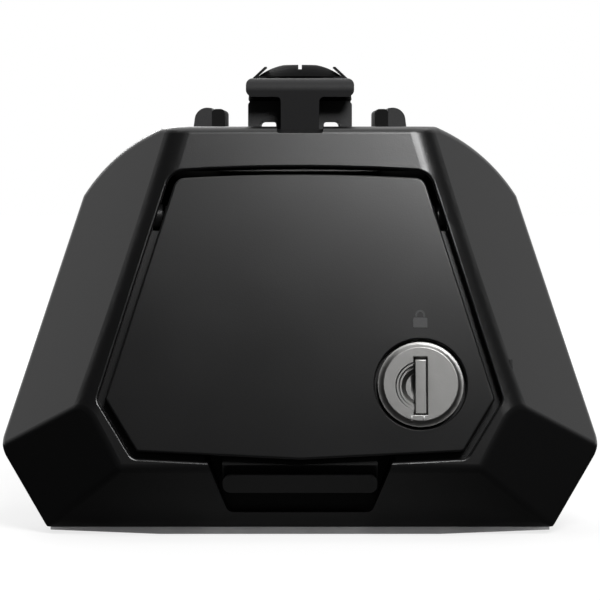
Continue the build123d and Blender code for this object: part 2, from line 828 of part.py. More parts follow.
# Base frame: fixed jaw and saddle, two side plates, thrust wall and bridge
with BuildPart() as base_frame:
    with BuildSketch(Plane.YZ) as jaw_profile:
        with BuildLine():
            Polyline(
                (leg_front_y, leg_low_z),
                (toe_back_y, leg_low_z),
                (toe_back_y, toe_z),
                (leg_back_y, toe_z),
                (leg_back_y, saddle_low_z),
                (frame_back_y, saddle_low_z),
                (frame_back_y, saddle_top_z),
                (leg_front_y, saddle_top_z),
                close=True,
            )
        make_face()
        fillet(jaw_profile.vertices().group_by(Axis.X)[0], frame_radius)
    extrude(amount=jaw_half, both=True)
    with BuildSketch(Plane.YZ.offset(plate_middle)):
        with BuildLine():
            Polyline(
                (plate_foot_y, saddle_low_z),
                (plate_waist_y, plate_waist_z),
                (bridge_front_y, bridge_top_z),
                (bridge_back_y, bridge_top_z),
                (frame_back_y, plate_waist_z),
                (frame_back_y, saddle_low_z),
                close=True,
            )
        make_face()
        with BuildLine():
            Polyline(
                (plate_waist_y + window_margin, thrust_top_z + window_margin / 2),
                (bridge_front_y + window_margin, bridge_low_z - window_margin / 2),
                (bridge_back_y - window_margin, bridge_low_z - window_margin / 2),
                (frame_back_y - window_margin, thrust_top_z + window_margin / 2),
                close=True,
            )
        make_face(mode=Mode.SUBTRACT)
    extrude(amount=plate_wall / 2, both=True)
    mirror(about=Plane.YZ)
    with Locations((0, (bridge_front_y + bridge_back_y) / 2, (bridge_low_z + bridge_top_z) / 2)):
        Box(2 * frame_half, bridge_back_y - bridge_front_y, bridge_thick)
    with Locations((0, thrust_front_y + thrust_thick / 2, (saddle_top_z + thrust_top_z) / 2)):
        Box(2 * plate_middle, thrust_thick, thrust_top_z - saddle_top_z)
    with BuildSketch(bolt_plane.offset(thrust_front_y)):
        Circle(clear_radius)
    extrude(amount=thrust_thick, mode=Mode.SUBTRACT)
    with BuildSketch(tee_plane.offset(bridge_low_z)):
        Circle(clear_radius)
    extrude(amount=bridge_thick, mode=Mode.SUBTRACT)
    with BuildSketch(Plane.XY.offset(bridge_low_z)):
        with Locations(*[(0, y) for y in seat_screws_y]):
            Circle(seat_screw_radius)
    extrude(amount=bridge_thick, mode=Mode.SUBTRACT)


# Rubber pads on the rail
def grooved_pad(middle, normal, width, height, thick):
    """A pad that stands on a face, with grooves across the side that grips the rail."""
    plane = Plane(origin=middle, x_dir=(1, 0, 0), z_dir=normal)
    count = int(height / (4 * pad_groove))
    with BuildPart() as pad:
        with BuildSketch(plane):
            RectangleRounded(width, height, pad_groove)
        extrude(amount=thick)
        with BuildSketch(plane.offset(thick - pad_groove_depth)):
            with GridLocations(1, height / count, 1, count - 1):
                Rectangle(width, pad_groove)
        extrude(amount=pad_groove_depth, mode=Mode.SUBTRACT)
    return pad


saddle_middle = (0, (toe_back_y + frame_back_y) / 2, saddle_low_z)
leg_middle = (0, leg_back_y, (toe_z + jaw_pad_top_z) / 2)
jaw_middle = (0, jaw_plate_y, (jaw_toe_root_z + jaw_pad_top_z) / 2)
rail_pad = grooved_pad(saddle_middle, (0, 0, -1), 2 * jaw_half, frame_back_y - toe_back_y, pad_thick)
outer_jaw_pad = grooved_pad(leg_middle, (0, 1, 0), 2 * jaw_half, jaw_pad_top_z - toe_z, outer_pad_thick)
inner_jaw_pad = grooved_pad(
    jaw_middle, (0, -1, 0), 2 * jaw_plate_half, jaw_pad_top_z - jaw_toe_root_z, pad_thick
)


# Rear moulding with the deck and the cradle's ears
rear_plane = Plane.XZ.offset(-split_y - part_gap)
rear_depth = rear_y - split_y - part_gap
rear_outline = front_outline(rear_plane, 0, 0)
rear_hollow = front_outline(rear_plane, wall, 2 * wall)
with BuildPart() as rear_outside:
    extrude(rear_outline, amount=-rear_depth)
    fillet(faces().sort_by(Axis.Y)[-1].edges(), rear_radius)
rear_lining = tunnel_lining(rear_outside.part)
with BuildPart() as body_moulding:
    add(rear_outside.part)
    extrude(rear_hollow, amount=-(rear_depth - wall), mode=Mode.SUBTRACT)
    add(rear_lining)
    with BuildSketch(rear_plane):
        with Locations(*screw_points):
            Circle(boss_radius)
    extrude(amount=-(rear_depth - wall / 2))
    with Locations((0, (deck_front_y + rear_y - wall) / 2, deck_top_z - deck_thick / 2)):
        Box(2 * deck_half, rear_y - wall - deck_front_y, deck_thick)
    extrude(tunnel, amount=reach, both=True, mode=Mode.SUBTRACT)
    with Locations((0, rear_y - trough_end, deck_top_z)):
        Box(2 * deck_half, reach, reach, align=(Align.CENTER, Align.MAX, Align.MIN), mode=Mode.SUBTRACT)
    with BuildSketch(Plane.XZ):
        RectangleRounded(2 * window_half, 2 * window_top_z, window_radius)
    extrude(amount=-reach, mode=Mode.SUBTRACT)
    with BuildSketch(Plane.XZ.offset(-ear_front_y)) as ear_profile:
        for side in (1, -1):
            with BuildLine():
                Polyline(
                    (side * ear_inner, deck_top_z - deck_thick / 2),
                    (side * ear_outer, deck_top_z - deck_thick / 2),
                    (side * ear_outer, deck_top_z),
                    (side * (ear_outer - ear_slope), ear_top_z),
                    (side * ear_inner, ear_top_z - ear_fall),
                    close=True,
                )
            make_face()
        fillet(ear_profile.vertices().group_by(Axis.Y)[-1], ear_radius)
    extrude(amount=-(ear_back_y - ear_front_y))
    with BuildSketch(Plane.XY.offset(deck_top_z - deck_thick)):
        with Locations((0, tee_axis_y)):
            Circle(clear_radius)
        with Locations(*[(0, y) for y in seat_screws_y]):
            Circle(seat_screw_radius)
        with Locations((0, deck_front_y)):
            Rectangle(2 * notch_half, 2 * (tee_front_y + tee_thick + 2 * part_gap - deck_front_y))
    extrude(amount=deck_thick, mode=Mode.SUBTRACT)
    with BuildSketch(Plane.XZ.offset(-rear_y)):
        with Locations(*screw_points):
            Circle(screw_head_radius + part_gap)
    extrude(amount=rear_y - screw_seat_y, mode=Mode.SUBTRACT)
    with BuildSketch(Plane.XZ.offset(-rear_y)):
        with Locations(*screw_points):
            Circle(screw_radius + part_gap)
    extrude(amount=rear_depth, mode=Mode.SUBTRACT)


with BuildPart() as cover_screws:
    with BuildSketch(Plane.XZ.offset(-screw_seat_y)):
        with Locations(*screw_points):
            Circle(screw_head_radius)
    extrude(amount=-screw_head_thick)
    chamfer(edges().group_by(Axis.Y)[-1], screw_head_thick / 3)
    with BuildSketch(Plane.XZ.offset(-screw_seat_y)):
        with Locations(*screw_points):
            Circle(screw_radius)
    extrude(amount=screw_seat_y - screw_tip_y)


with BuildPart() as bar_buffers:
    with BuildSketch(Plane.XZ.offset(-ear_front_y)) as buffer_profile:
        for side in (1, -1):
            with Locations((side * (buffer_inner + ear_inner) / 2, (deck_top_z + buffer_top_z) / 2)):
                Rectangle(ear_inner - buffer_inner, buffer_top_z - deck_top_z)
        fillet(buffer_profile.vertices().group_by(Axis.Y)[-1], buffer_radius)
    extrude(amount=-(ear_back_y - ear_front_y))


# Bar seat and its screws
with BuildPart() as bar_seat:
    with BuildSketch(Plane.XZ.offset(-seat_front_y)) as seat_profile:
        with Locations((0, (deck_top_z + seat_top_z) / 2)):
            Rectangle(2 * seat_half, seat_top_z - deck_top_z)
        fillet(seat_profile.vertices().group_by(Axis.Y)[-1], seat_radius)
        for side in (1, -1):
            with Locations((side * (seat_arch_inner + seat_arch_outer) / 2, deck_top_z)):
                RectangleRounded(
                    seat_arch_outer - seat_arch_inner,
                    2 * (seat_arch_z - deck_top_z),
                    seat_radius,
                    mode=Mode.SUBTRACT,
                )
    extrude(amount=-(seat_back_y - seat_front_y))
    with BuildSketch(tee_plane.offset(deck_top_z)):
        Circle(clear_radius)
    extrude(amount=seat_top_z - deck_top_z, mode=Mode.SUBTRACT)
    with Locations(*[(0, y, seat_top_z) for y in seat_screws_y]):
        CounterSinkHole(seat_screw_radius, seat_screw_head, counter_sink_angle=90)


with BuildPart() as seat_screws:
    with Locations(*[(0, y, seat_top_z) for y in seat_screws_y]):
        Cone(
            seat_screw_radius,
            seat_screw_head,
            seat_screw_head - seat_screw_radius,
            align=(Align.CENTER, Align.CENTER, Align.MAX),
        )
        Cylinder(
            seat_screw_radius, seat_screw_length, align=(Align.CENTER, Align.CENTER, Align.MAX)
        )


# Tee plate, bolt, spring clip, nut and washer
with BuildPart() as tee_plate:
    with BuildSketch(Plane.YZ) as tee_profile:
        with BuildLine():
            Polyline(
                (tee_front_y, tee_stem_low_z),
                (tee_front_y, tee_top_z),
                (tee_back_y, tee_top_z),
                (tee_back_y, tee_top_z - tee_thick),
                (tee_front_y + tee_thick, tee_top_z - tee_thick),
                (tee_front_y + tee_thick, tee_stem_low_z),
                close=True,
            )
        make_face()
        fillet(tee_profile.vertices().group_by(Axis.X)[0].sort_by(Axis.Y)[-1], tee_bend_radius)
    extrude(amount=tee_half, both=True)
    with BuildSketch(Plane.XZ) as tee_outline:
        with Locations((0, (tee_head_low_z + tee_top_z) / 2)):
            RectangleRounded(2 * tee_half, tee_top_z - tee_head_low_z, tee_head_radius)
        with Locations((0, (tee_stem_low_z + tee_head_low_z + tee_thick) / 2)):
            Rectangle(2 * tee_stem_half, tee_head_low_z + tee_thick - tee_stem_low_z)
        head_edge = tee_outline.vertices().group_by(Axis.Y)[1].sort_by(Axis.X)
        fillet(head_edge[1:-1], tee_stem_radius)
    extrude(amount=reach, both=True, mode=Mode.INTERSECT)
    with BuildSketch(tee_plane.offset(tee_top_z - tee_thick)):
        Circle(thread_radius)
    extrude(amount=tee_thick, mode=Mode.SUBTRACT)


dome_base_z = tee_top_z + clip_strip
dome_top_z = dome_base_z + dome_height
bolt_section_plane = Plane(origin=(0, tee_axis_y, 0), x_dir=(1, 0, 0), z_dir=(0, -1, 0))
with BuildPart() as tee_bolt:
    with BuildSketch(bolt_section_plane):
        with BuildLine():
            crown = ThreePointArc(
                (dome_radius, dome_base_z),
                ((dome_radius + dome_flat_radius) / 2 + dome_height / 8, dome_base_z + dome_height * 0.6),
                (dome_flat_radius, dome_top_z),
            )
            Polyline(
                crown @ 1,
                (0, dome_top_z),
                (0, tee_bolt_low_z),
                (thread_radius, tee_bolt_low_z),
                (thread_radius, dome_base_z),
                crown @ 0,
            )
        make_face()
    revolve(axis=Axis((0, tee_axis_y, 0), (0, 0, 1)))
    with Locations((0, tee_axis_y, dome_top_z)):
        Box(dome_slot_width, 2 * dome_radius, 2 * dome_slot_depth, mode=Mode.SUBTRACT)


with BuildPart() as tee_spring_clip:
    with BuildSketch(Plane.XZ.offset(-tee_axis_y)):
        with BuildLine():
            Polyline(
                (0, tee_top_z),
                (clip_wing_half, tee_top_z),
                (clip_wing_tip, dome_base_z + clip_wing_rise),
                (clip_wing_tip - clip_strip, dome_base_z + clip_wing_rise),
                (clip_wing_half - 2 * clip_strip, dome_base_z),
                (0, dome_base_z),
            )
            mirror(about=Plane.YZ)
        make_face()
    extrude(amount=clip_strip_half, both=True)
    with BuildSketch(tee_plane.offset(tee_top_z)):
        Circle(thread_radius)
    extrude(amount=clip_strip, mode=Mode.SUBTRACT)


with BuildPart() as tee_washer:
    with BuildSketch(tee_plane.offset(tee_washer_low_z)):
        Circle(washer_radius)
        Circle(clear_radius, mode=Mode.SUBTRACT)
    extrude(amount=washer_thick)


with BuildPart() as tee_nut:
    with BuildSketch(tee_plane.offset(nut_top_z - nut_height)):
        RegularPolygon(nut_side / 2, 6, major_radius=False)
    extrude(amount=nut_height)
    with BuildSketch(tee_plane.offset(nut_top_z - washer_thick)):
        Circle(washer_radius)
    extrude(amount=washer_thick)
    with BuildSketch(tee_plane.offset(nut_top_z - nut_height)):
        Circle(thread_radius + thread_play)
    extrude(amount=nut_height, mode=Mode.SUBTRACT)


# Clamp bolt, its washer and ring
head_back_y = washer_front_y - turn_gap
with BuildPart() as thrust_washer:
    with BuildSketch(bolt_plane.offset(washer_front_y)):
        Circle(washer_radius)
        Circle(clear_radius, mode=Mode.SUBTRACT)
    extrude(amount=washer_thick)


with BuildPart() as clamp_bolt:
    with BuildSketch(bolt_plane.offset(head_back_y - bolt_head_height)):
        Circle(bolt_head_radius)
    extrude(amount=bolt_head_height)
    chamfer(edges().group_by(Axis.Y)[0], bolt_head_height / 10)
    with BuildSketch(bolt_plane.offset(head_back_y)):
        Circle(thread_radius)
    extrude(amount=bolt_end_y - head_back_y)
    chamfer(edges().group_by(Axis.Y)[-1], thread_radius / 5)
    with BuildSketch(bolt_plane.offset(head_back_y - bolt_head_height)):
        RegularPolygon(bolt_socket / 2, 6, major_radius=False)
    extrude(amount=bolt_socket_depth, mode=Mode.SUBTRACT)


with BuildPart() as bolt_ring:
    with BuildSketch(bolt_plane.offset(thrust_front_y + thrust_thick + turn_gap)):
        Circle(ring_radius)
        Circle(thread_radius, mode=Mode.SUBTRACT)
    extrude(amount=ring_thick)


# Sliding jaw with its nut and pad
jaw_boss_low_z = saddle_top_z + jaw_play
jaw_back_y = jaw_plate_y + jaw_plate_thick
with BuildPart() as inner_jaw:
    with BuildSketch(Plane.XZ.offset(-jaw_plate_y)) as jaw_outline:
        with BuildLine():
            Polyline(
                (-jaw_plate_half, 0),
                (jaw_plate_half, 0),
                (jaw_plate_half, jaw_wide_z),
                (jaw_boss_half, jaw_taper_z),
                (jaw_boss_half, jaw_boss_top_z),
                (-jaw_boss_half, jaw_boss_top_z),
                (-jaw_boss_half, jaw_taper_z),
                (-jaw_plate_half, jaw_wide_z),
                close=True,
            )
        make_face()
        fillet(jaw_outline.vertices().group_by(Axis.Y)[1:], frame_radius)
    extrude(amount=-jaw_plate_thick)
    chamfer(faces().sort_by(Axis.Y)[-1].edges().sort_by(Axis.Z)[1:], jaw_chamfer)
    with BuildSketch(Plane.YZ):
        with BuildLine():
            Polyline(
                (jaw_plate_y, 0),
                (jaw_toe_y + jaw_toe_z / 2, 0),
                (jaw_toe_y, jaw_toe_z / 2),
                (jaw_toe_y, jaw_toe_z),
                (jaw_plate_y, jaw_toe_root_z),
                close=True,
            )
        make_face()
    extrude(amount=jaw_plate_half, both=True)
    for x in jaw_ribs_x:
        with BuildSketch(Plane.YZ.offset(x)):
            with BuildLine():
                Polyline(
                    (jaw_back_y, 0),
                    (jaw_rib_y, 0),
                    (jaw_rib_y, jaw_rib_foot_z),
                    (jaw_back_y, jaw_rib_top_z),
                    close=True,
                )
            make_face()
        extrude(amount=jaw_rib_wall / 2, both=True)
    with BuildSketch(bolt_plane.offset(jaw_boss_front_y)):
        with Locations((0, bolt_z - (jaw_boss_low_z + jaw_boss_top_z) / 2)):
            Rectangle(2 * jaw_boss_half, jaw_boss_top_z - jaw_boss_low_z)
    extrude(amount=jaw_plate_y - jaw_boss_front_y)
    chamfer(faces().sort_by(Axis.Y)[0].edges(), jaw_chamfer)
    with BuildSketch(bolt_plane.offset(jaw_boss_front_y)):
        Circle(clear_radius)
    extrude(amount=reach, mode=Mode.SUBTRACT)
    with BuildSketch(bolt_plane.offset(jaw_nut_y)):
        Rectangle(nut_side, nut_side)
    extrude(amount=reach, mode=Mode.SUBTRACT)


with BuildPart() as jaw_nut:
    with BuildSketch(bolt_plane.offset(jaw_nut_y)):
        Rectangle(nut_side, nut_side)
        Circle(thread_radius + thread_play, mode=Mode.SUBTRACT)
    extrude(amount=nut_height)


# Pale trim under the cover's lower edge, on which the foot stands at the front
with BuildPart() as sole_trim:
    with BuildSketch(Plane.XZ.offset(-sole_back_y)):
        with BuildLine():
            Polyline((0, base_z), (sole_half, base_z), (sole_half, sole_end_z), (sole_flat_half, 0), (0, 0))
            mirror(about=Plane.YZ)
        make_face()
    extrude(amount=sole_back_y - base_y + sole_proud)


pieces = {
    "cover_shell": cover_shell,
    "door_panel": door_panel,
    "hinge_pins": hinge_pins,
    "lock_core": lock_core,
    "lock_shutter": lock_shutter,
    "lock_sleeve": lock_sleeve,
    "lock_clip": lock_clip,
    "lock_cam": lock_cam,
    "cam_screw": cam_screw,
    "base_frame": base_frame,
    "rail_pad": rail_pad,
    "outer_jaw_pad": outer_jaw_pad,
    "body_moulding": body_moulding,
    "cover_screws": cover_screws,
    "bar_buffers": bar_buffers,
    "bar_seat": bar_seat,
    "seat_screws": seat_screws,
    "tee_plate": tee_plate,
    "tee_bolt": tee_bolt,
    "tee_spring_clip": tee_spring_clip,
    "tee_washer": tee_washer,
    "tee_nut": tee_nut,
    "thrust_washer": thrust_washer,
    "clamp_bolt": clamp_bolt,
    "bolt_ring": bolt_ring,
    "inner_jaw": inner_jaw,
    "jaw_nut": jaw_nut,
    "inner_jaw_pad": inner_jaw_pad,
    "sole_trim": sole_trim,
}
for name, piece in pieces.items():
    piece.part.label = name
    export_step(piece.part, f"parts/{name}.step")
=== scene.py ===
"""Looks of a roof bar foot for a raised roof rail, laid out as an add-on and run as a script."""

import json
import math

import bmesh
import bpy
from bpy.props import FloatProperty, FloatVectorProperty, PointerProperty
from mathutils import Matrix, Vector


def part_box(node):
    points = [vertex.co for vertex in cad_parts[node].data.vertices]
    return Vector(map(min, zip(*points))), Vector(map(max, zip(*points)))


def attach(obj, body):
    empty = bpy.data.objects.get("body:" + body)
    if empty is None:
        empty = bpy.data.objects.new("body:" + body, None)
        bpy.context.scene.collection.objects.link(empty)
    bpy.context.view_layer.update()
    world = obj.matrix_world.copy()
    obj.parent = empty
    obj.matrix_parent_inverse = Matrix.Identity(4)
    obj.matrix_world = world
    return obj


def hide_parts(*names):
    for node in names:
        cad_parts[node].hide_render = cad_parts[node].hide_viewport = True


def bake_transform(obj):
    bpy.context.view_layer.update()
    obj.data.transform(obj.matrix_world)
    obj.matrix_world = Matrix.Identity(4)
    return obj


bl_info = {
    "name": "Roof bar foot",
    "version": (1, 0, 0),
    "blender": (4, 5, 0),
    "location": "3D View > Sidebar > Roof bar foot",
    "description": "Finishes, small details and studio of a roof bar foot",
    "category": "Object",
}

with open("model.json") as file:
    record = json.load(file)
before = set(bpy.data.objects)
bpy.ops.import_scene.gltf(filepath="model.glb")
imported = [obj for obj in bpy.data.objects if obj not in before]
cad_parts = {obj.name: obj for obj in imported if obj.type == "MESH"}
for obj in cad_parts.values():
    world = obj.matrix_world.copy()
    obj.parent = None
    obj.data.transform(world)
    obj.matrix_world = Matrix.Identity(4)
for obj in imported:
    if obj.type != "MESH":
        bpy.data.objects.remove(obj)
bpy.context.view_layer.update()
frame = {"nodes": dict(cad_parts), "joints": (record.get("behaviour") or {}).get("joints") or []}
nodes = frame["nodes"]
joints = {joint["name"]: joint for joint in frame["joints"]}

# The lock's face: its middle, and the directions across, up and out of it
lock_middle = Vector(joints["lock_turn"]["pos_m"])
lock_out = -Vector(joints["lock_turn"]["axis"]).normalized()
lock_across = Vector((1, 0, 0))
lock_up = lock_out.cross(lock_across)

MM = 0.001


def length(name, description, default):
    """A size in metres that a user may change."""
    return FloatProperty(name=name, description=description, default=default, unit="LENGTH", precision=5)


def share(name, description, default):
    """A value from nothing to all."""
    return FloatProperty(name=name, description=description, default=default, min=0, max=1, subtype="FACTOR")


def colour(name, description, default):
    """A linear colour."""
    return FloatVectorProperty(
        name=name, description=description, default=default, size=3, min=0, max=1, subtype="COLOR"
    )


class FinishSettings(bpy.types.PropertyGroup):
    """Colours and textures of the foot's finishes."""

    cover_colour: colour("Cover", "Colour of the moulded cover and door", (0.0060, 0.0060, 0.0062))
    cover_roughness: share("Cover roughness", "Roughness of the grained cover", 0.29)
    grain_size: length("Grain", "Size of the moulded grain", 0.32 * MM)
    grain_depth: length("Grain depth", "Depth of the moulded grain", 0.009 * MM)
    body_colour: colour("Rear moulding", "Colour of the inner and rear mouldings", (0.042, 0.042, 0.043))
    seat_colour: colour("Bar seat", "Colour of the block that the bar sits on", (0.045, 0.045, 0.046))
    steel_colour: colour("Coated steel", "Colour of the tee plate and its clip", (0.0130, 0.0130, 0.0136))
    bolt_colour: colour("Black steel", "Colour of the bolt and the hinge pins", (0.0040, 0.0040, 0.0042))
    casting_colour: colour("Castings", "Colour of the frame and the sliding jaw", (0.0170, 0.0170, 0.0180))
    nickel_colour: colour("Nickel", "Colour of the lock", (0.235, 0.233, 0.228))
    sign_colour: colour("Sign", "Colour of the padlock sign on the door", (0.030, 0.030, 0.031))
    zinc_colour: colour("Zinc", "Colour of the plated screws", (0.56, 0.57, 0.58))
    rubber_colour: colour("Rubber", "Colour of the pads and buffers", (0.0070, 0.0070, 0.0070))
    # The sole's pale grey is partly painted highlight: it stands in for the light that catches the sole's
    # upward-facing top.
    sole_colour_painted_highlight: colour("Sole", "Colour of the trim under the cover", (0.340, 0.340, 0.343))


class DetailSettings(bpy.types.PropertyGroup):
    """Sizes of the details that are added to the solids."""

    rim_fall: length("Lock rim", "How far the lock face's rim falls away", 0.62 * MM)
    rim_rounding: length("Rim rounding", "Rounding of the lock face's rim", 0.20 * MM)
    step_rounding: length("Lock steps", "Rounding of the half-moon's steps", 0.11 * MM)
    shutter_rounding: length("Shutter", "Rounding of the shutter's edges", 0.22 * MM)
    sign_width: length("Sign width", "Width of the padlock sign on the door", 3.2 * MM)
    sign_height: length("Sign height", "Height of the padlock sign's body", 2.3 * MM)
    sign_bow: length("Sign bow", "Radius of the padlock sign's bow", 0.9 * MM)
    sign_stroke: length("Sign stroke", "Width of the padlock sign's bow line", 0.42 * MM)
    sign_relief: length("Sign relief", "How far the sign stands out", 0.10 * MM)
    sign_place: length("Sign place", "How far the sign is above the lock's middle", 14.0 * MM)
    tick_length: length("Tick length", "Length of the ticks on the lock's face", 1.2 * MM)
    tick_width: length("Tick width", "Width of the ticks on the lock's face", 0.36 * MM)
    tick_place: length("Tick place", "How far the ticks are below the lock's middle", 7.75 * MM)
    tick_left: length("Left tick", "Where the left tick is beside the lock's middle", -2.1 * MM)
    tick_right: length("Right tick", "Where the right tick is beside the lock's middle", 0.65 * MM)
    keyway_side: length("Keyway side", "Where the half-moon meets the keyway", -1.6 * MM)
    cushion_hole: length("Cushion hole", "Radius of the tee bolt's hole in the cushion", 4.6 * MM)
    cushion_edge: length("Cushion edge", "Rounding of the cushion's edges", 0.4 * MM)
    recess_radius: length("Screw recess", "Radius of the six-lobed recess in the screws", 1.55 * MM)
    recess_depth: length("Recess depth", "Depth of the six-lobed recess in the screws", 1.3 * MM)
    thread_pitch: length("Thread pitch", "Pitch of the clamp bolt's thread", 1.25 * MM)
    thread_rise: length("Thread rise", "How far the thread stands out of the bolt's shank", 0.32 * MM)


class StageSettings(bpy.types.PropertyGroup):
    """Camera, floor and lights."""

    distance: length("Distance", "From the camera to the foot's middle", 0.700)
    target_height: length("Aim", "Height that the camera looks at", 0.0519)
    elevation: FloatProperty(
        name="Elevation", description="How far the camera looks down", default=math.radians(3),
        subtype="ANGLE",
    )
    lens: FloatProperty(name="Lens", description="Focal length in millimetres", default=176.3, unit="CAMERA")
    floor_reach: length("Floor reach", "Half the floor's width", 3.0)
    floor_colour: colour("Floor", "Colour that the floor gives back to the foot", (0.20, 0.20, 0.20))
    floor_edge: length("Floor edge", "How far from the foot the floor stops giving light back", 0.08)
    floor_lift: share("Floor lift", "How much the floor near the foot is lifted to white", 0.78)
    surround: colour("Surround", "Dim light from all around", (0.02, 0.02, 0.02))


def finishes():
    """The finish settings."""
    return bpy.context.scene.roof_foot_finish


def details():
    """The detail settings."""
    return bpy.context.scene.roof_foot_detail


def new_material(name):
    """A node material with its Principled shader."""
    material = bpy.data.materials.new(name)
    material.use_nodes = True
    return material, material.node_tree, material.node_tree.nodes["Principled BSDF"]


def add_node(tree, kind, inputs=(), **settings):
    """A node with its settings and the values of its inputs."""
    made = tree.nodes.new(kind)
    for key, value in settings.items():
        setattr(made, key, value)
    for key, value in dict(inputs).items():
        made.inputs[key].default_value = value
    return made


def object_place(tree):
    """Object coordinates."""
    return add_node(tree, "ShaderNodeTexCoord").outputs["Object"]


def noise(tree, vector, size, detail=2.0, roughness=0.5):
    """Noise whose lumps are about the given size in metres."""
    made = add_node(tree, "ShaderNodeTexNoise", {"Scale": 1 / size, "Detail": detail, "Roughness": roughness})
    tree.links.new(vector, made.inputs["Vector"])
    return made.outputs["Fac"]


def spread(tree, value, low, high):
    """Noise spread over a range of values."""
    made = add_node(
        tree, "ShaderNodeMapRange", {"From Min": 0.1, "From Max": 0.9, "To Min": low, "To Max": high}
    )
    tree.links.new(value, made.inputs["Value"])
    return made.outputs["Result"]


def tinted(tree, value, base, change):
    """A colour that noise makes a little darker or lighter."""
    made = add_node(tree, "ShaderNodeMix", data_type="RGBA")
    made.inputs["A"].default_value = (*[part * (1 - change) for part in base], 1)
    made.inputs["B"].default_value = (*[part * (1 + change) for part in base], 1)
    tree.links.new(value, made.inputs["Factor"])
    return made.outputs["Result"]


def bumped(tree, shader, height, depth):
    """Gives the shader a relief of that depth in metres."""
    made = add_node(tree, "ShaderNodeBump", {"Strength": 1.0, "Distance": depth})
    tree.links.new(height, made.inputs["Height"])
    tree.links.new(made.outputs["Normal"], shader.inputs["Normal"])


def moulded_plastic(name, base, roughness, grain_size, grain_depth):
    """Black plastic with the fine grain of an eroded mould."""
    material, tree, shader = new_material(name)
    place = object_place(tree)
    grain = noise(tree, place, grain_size, detail=0.6)
    clouds = noise(tree, place, 60 * grain_size)
    shader.inputs["IOR"].default_value = 1.49
    tree.links.new(tinted(tree, grain, base, 0.25), shader.inputs["Base Color"])
    tree.links.new(spread(tree, clouds, roughness - 0.02, roughness + 0.02), shader.inputs["Roughness"])
    bumped(tree, shader, grain, grain_depth)
    return material


def coated_metal(name, base, roughness, lump_size, lump_depth, gloss=0.5):
    """Steel or a casting under black paint, with the paint's soft lumps."""
    material, tree, shader = new_material(name)
    place = object_place(tree)
    shader.inputs["Specular IOR Level"].default_value = gloss
    lumps = noise(tree, place, lump_size, detail=1.5)
    clouds = noise(tree, place, 40 * lump_size)
    tree.links.new(tinted(tree, clouds, base, 0.2), shader.inputs["Base Color"])
    tree.links.new(spread(tree, lumps, roughness - 0.05, roughness + 0.05), shader.inputs["Roughness"])
    bumped(tree, shader, lumps, lump_depth)
    return material


def bare_metal(name, base, roughness, mottle_size, mottle_depth):
    """Plated metal with a fine mottle and cloudy tarnish."""
    material, tree, shader = new_material(name)
    place = object_place(tree)
    mottle = noise(tree, place, mottle_size, detail=3.0)
    clouds = noise(tree, place, 12 * mottle_size, detail=3.0)
    shader.inputs["Metallic"].default_value = 1.0
    tree.links.new(tinted(tree, clouds, base, 0.12), shader.inputs["Base Color"])
    tree.links.new(spread(tree, mottle, roughness - 0.06, roughness + 0.06), shader.inputs["Roughness"])
    bumped(tree, shader, mottle, mottle_depth)
    return material


def soft_rubber(name, base, roughness):
    """Matt rubber with a dusty bloom."""
    material, tree, shader = new_material(name)
    place = object_place(tree)
    grain = noise(tree, place, 0.3 * MM, detail=3.0)
    bloom = noise(tree, place, 6 * MM, detail=3.0)
    shader.inputs["Specular IOR Level"].default_value = 0.15
    tree.links.new(tinted(tree, bloom, base, 0.2), shader.inputs["Base Color"])
    tree.links.new(spread(tree, bloom, roughness - 0.06, roughness + 0.06), shader.inputs["Roughness"])
    bumped(tree, shader, grain, 0.01 * MM)
    return material


def dress(material, *names):
    """Gives solids their finish."""
    for name in names:
        mesh = nodes[name].data
        mesh.materials.clear()
        mesh.materials.append(material)


def finished_piece(shape, name, material, sharp=math.radians(32)):
    """A new piece from a bmesh that is already in place, smooth but for its sharp edges."""
    bmesh.ops.remove_doubles(shape, verts=shape.verts, dist=1e-7)
    bmesh.ops.recalc_face_normals(shape, faces=shape.faces)
    mesh = bpy.data.meshes.new(name)
    shape.to_mesh(mesh)
    shape.free()
    mesh.materials.append(material)
    mesh.shade_smooth()
    mesh.set_sharp_from_angle(angle=sharp)
    piece = bpy.data.objects.new(name, mesh)
    bpy.context.scene.collection.objects.link(piece)
    even = piece.modifiers.new("even_normals", "WEIGHTED_NORMAL")
    even.keep_sharp = True
    return piece


def merged_copy(name):
    """A solid's mesh as a bmesh, with its triangles joined into flat faces."""
    shape = bmesh.new()
    shape.from_mesh(nodes[name].data)
    bmesh.ops.remove_doubles(shape, verts=shape.verts, dist=1e-6)
    bmesh.ops.dissolve_limit(shape, angle_limit=math.radians(0.5), verts=shape.verts, edges=shape.edges)
    return shape


def rounded(shape, edges, width, segments):
    """Rounds some edges of a shape."""
    bmesh.ops.bevel(
        shape, geom=edges, offset=width, offset_type="OFFSET", affect="EDGES", segments=segments, profile=0.5,
        material=-1, clamp_overlap=True,
    )


def sharp_edges(shape, test, turn=math.radians(25)):
    """The edges that turn by more than an angle, and whose middle passes a test."""
    turning = [edge for edge in shape.edges if edge.is_manifold and edge.calc_face_angle() > turn]
    return [edge for edge in turning if test((edge.verts[0].co + edge.verts[1].co) / 2)]


def in_lock(point):
    """How far a point lies from the lock's axis, and how far out along it."""
    offset = point - lock_middle
    out = offset.dot(lock_out)
    return (offset - lock_out * out).length, out


def loose_solids(name):
    """Lowest and highest corner of each solid of a node that holds several."""
    shape = bmesh.new()
    shape.from_mesh(nodes[name].data)
    bmesh.ops.remove_doubles(shape, verts=shape.verts, dist=1e-6)
    left = set(shape.verts)
    boxes = []
    while left:
        reached = [left.pop()]
        found = list(reached)
        while reached:
            vert = reached.pop()
            near = [edge.other_vert(vert) for edge in vert.link_edges]
            fresh = [other for other in near if other in left]
            left.difference_update(fresh)
            reached += fresh
            found += fresh
        places = [vert.co for vert in found]
        low = Vector([min(place[axis] for place in places) for axis in range(3)])
        high = Vector([max(place[axis] for place in places) for axis in range(3)])
        boxes.append((low, high))
    shape.free()
    return sorted(boxes, key=lambda box: tuple(box[0]))


